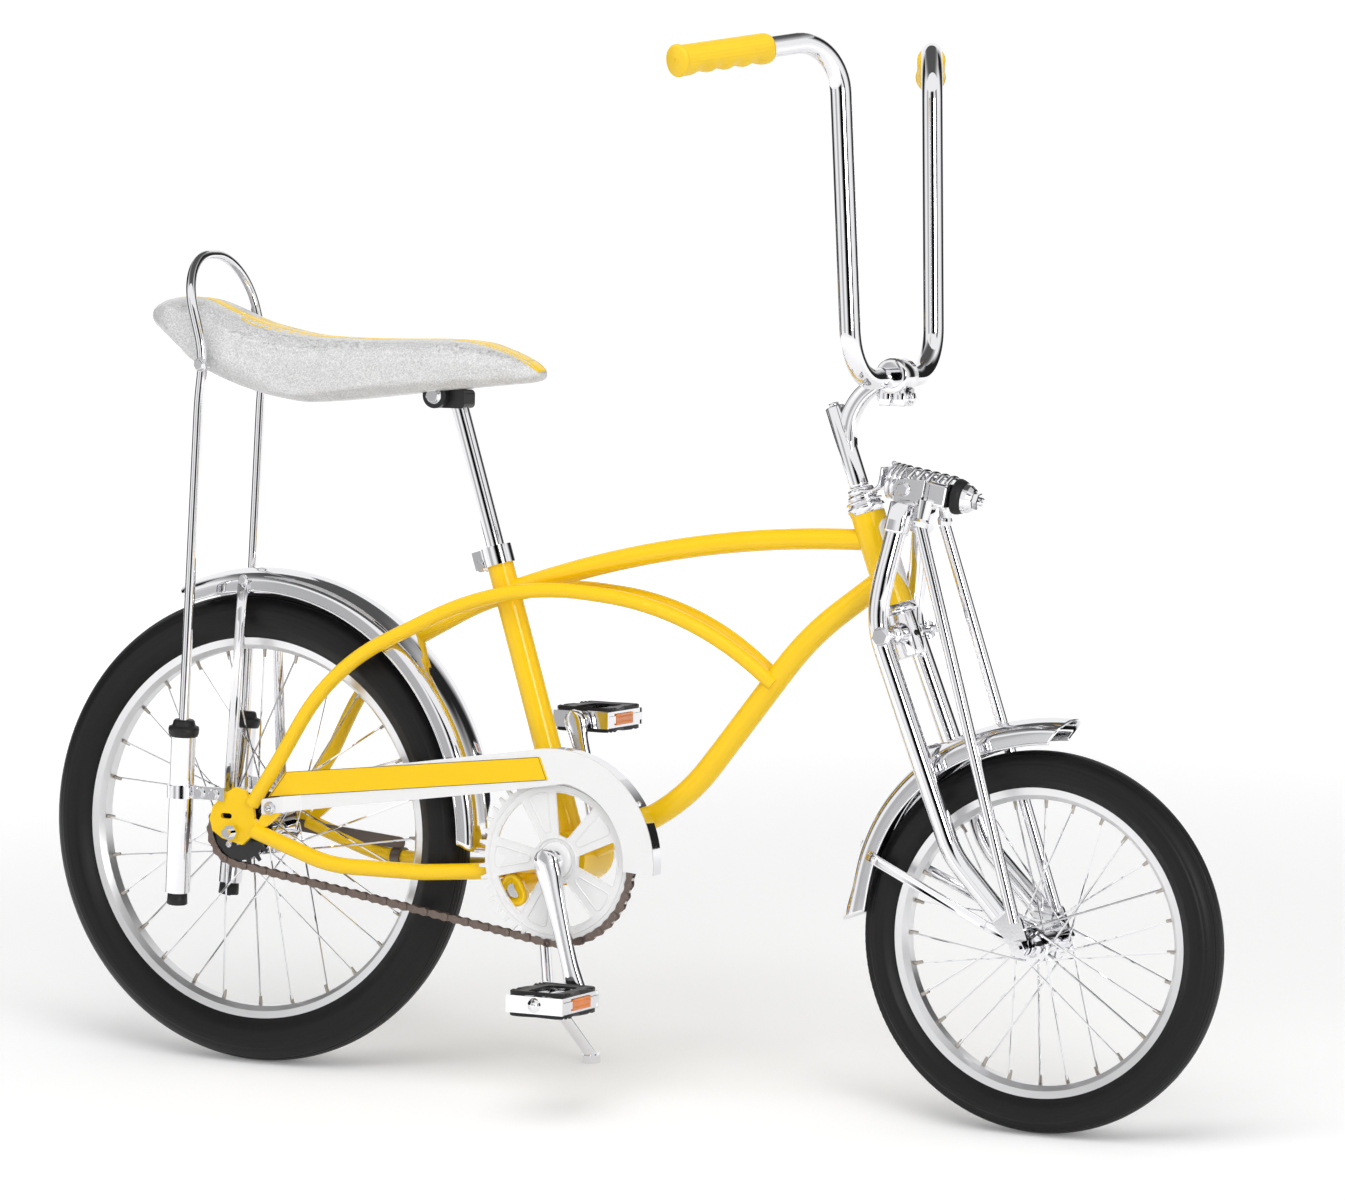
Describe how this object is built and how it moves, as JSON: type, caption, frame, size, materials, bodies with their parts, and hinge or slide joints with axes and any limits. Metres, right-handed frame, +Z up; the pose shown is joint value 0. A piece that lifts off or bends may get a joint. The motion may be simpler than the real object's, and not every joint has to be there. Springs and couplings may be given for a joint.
{
  "type": "chopper_bicycle",
  "caption": "Chopper bicycle with a banana seat and seat hoop, tall handlebar, sprung front fork, mudguards, chain drive and side stand.",
  "frame": {"origin": "centre of the bounding box on the floor, bicycle standing on its side stand", "axes": "+X forwards, +Z up, +Y to the rider's left; the bicycle leans 6 degrees towards +Y onto its stand"},
  "size_m": [1.3782, 0.6325, 1.132],
  "materials": {
    "yellow_paint": "gloss",
    "white_paint": "gloss",
    "chrome": "polished",
    "dark_steel": "satin",
    "satin_alloy": "satin",
    "yellow_vinyl": "soft ribbed",
    "black_rubber": "matte",
    "tyre_rubber": "matte",
    "silver_vinyl": "glitter vinyl"
  },
  "bodies": {
    "frame": {"head_tube": "yellow_paint", "seat_tube": "yellow_paint", "top_tube": "yellow_paint", "down_tube": "yellow_paint", "bottom_bracket": "yellow_paint", "dropouts": "yellow_paint", "stand_housing": "yellow_paint", "arch_tube_left": "yellow_paint", "arch_tube_right": "yellow_paint", "chainstay_left": "yellow_paint", "chainstay_right": "yellow_paint", "headset_cups": "chrome", "seat_post": "chrome", "seat_collar": "chrome", "saddle": "silver_vinyl", "saddle_bracket": "dark_steel", "sissy_bar": "chrome", "sissy_struts": "chrome", "sissy_straps": "chrome", "strut_caps": "black_rubber", "rear_fender": "chrome", "rear_fender_stays": "chrome", "chain_guard": "white_paint", "guard_lip": "chrome", "brake_arm": "dark_steel", "rear_axle": "chrome", "chain": "dark_steel"},
    "fork": {"fork_crown": "chrome", "fork_blades": "chrome", "fork_struts": "chrome", "fork_spring": "chrome", "spring_yoke": "chrome", "spring_buffer": "black_rubber", "spring_nuts": "chrome", "headset_nuts": "chrome", "handlebar": "chrome", "stem": "chrome", "grips": "yellow_vinyl", "front_fender": "chrome", "front_fender_stays": "chrome", "front_axle": "chrome"},
    "front_wheel": {"front_tyre": "tyre_rubber", "front_rim": "satin_alloy", "front_hub": "chrome", "front_spokes": "chrome"},
    "rear_wheel": {"rear_tyre": "tyre_rubber", "rear_rim": "satin_alloy", "rear_hub": "chrome", "rear_spokes": "chrome"},
    "crankset": {"crank": "chrome", "chainring": "white_paint"},
    "driver": {"rear_sprocket": "dark_steel"},
    "pedal_right": {"pedal_cage_right": "chrome", "pedal_pads_right": "black_rubber"},
    "pedal_left": {"pedal_cage_left": "chrome", "pedal_pads_left": "black_rubber"},
    "stand": {"stand_leg": "chrome"}
  },
  "joints": [
    {"name": "steering", "type": "hinge", "parent": "frame", "child": "fork", "pos_m": [0.28224, -0.04673, 0.63823], "axis": [-0.3437, 0.0982, 0.9339], "range_deg": [-45, 45]},
    {"name": "front_wheel_spin", "type": "hinge", "parent": "fork", "child": "front_wheel", "pos_m": [0.49224, -0.09321, 0.19607], "axis": [0, 0.9945, -0.1045], "continuous": true},
    {"name": "rear_wheel_spin", "type": "hinge", "parent": "frame", "child": "rear_wheel", "pos_m": [-0.43276, -0.08699, 0.25524], "axis": [0, 0.9945, -0.1045], "continuous": true},
    {"name": "crank_spin", "type": "hinge", "parent": "frame", "child": "crankset", "pos_m": [-0.04576, -0.08767, 0.24878], "axis": [0, 0.9945, -0.1045], "continuous": true, "deforming": ["chain"]},
    {"name": "driver_spin", "type": "hinge", "parent": "frame", "child": "driver", "pos_m": [-0.43276, -0.13174, 0.25994], "axis": [0, 0.9945, -0.1045], "continuous": true},
    {"name": "pedal_right_spin", "type": "hinge", "parent": "crankset", "child": "pedal_right", "pos_m": [-0.00779, -0.20849, 0.12285], "axis": [0, 0.9945, -0.1045], "continuous": true},
    {"name": "pedal_left_spin", "type": "hinge", "parent": "crankset", "child": "pedal_left", "pos_m": [-0.08374, 0.03316, 0.3747], "axis": [0, 0.9945, -0.1045], "continuous": true},
    {"name": "stand_swing", "type": "hinge", "parent": "frame", "child": "stand", "pos_m": [-0.11076, -0.09132, 0.21397], "axis": [0, 0.9945, -0.1045], "range_deg": [0, 80]}
  ],
  "couplings": [
    {"joint": "driver_spin", "follows": "crank_spin", "ratio": 2.4444}
  ]
}
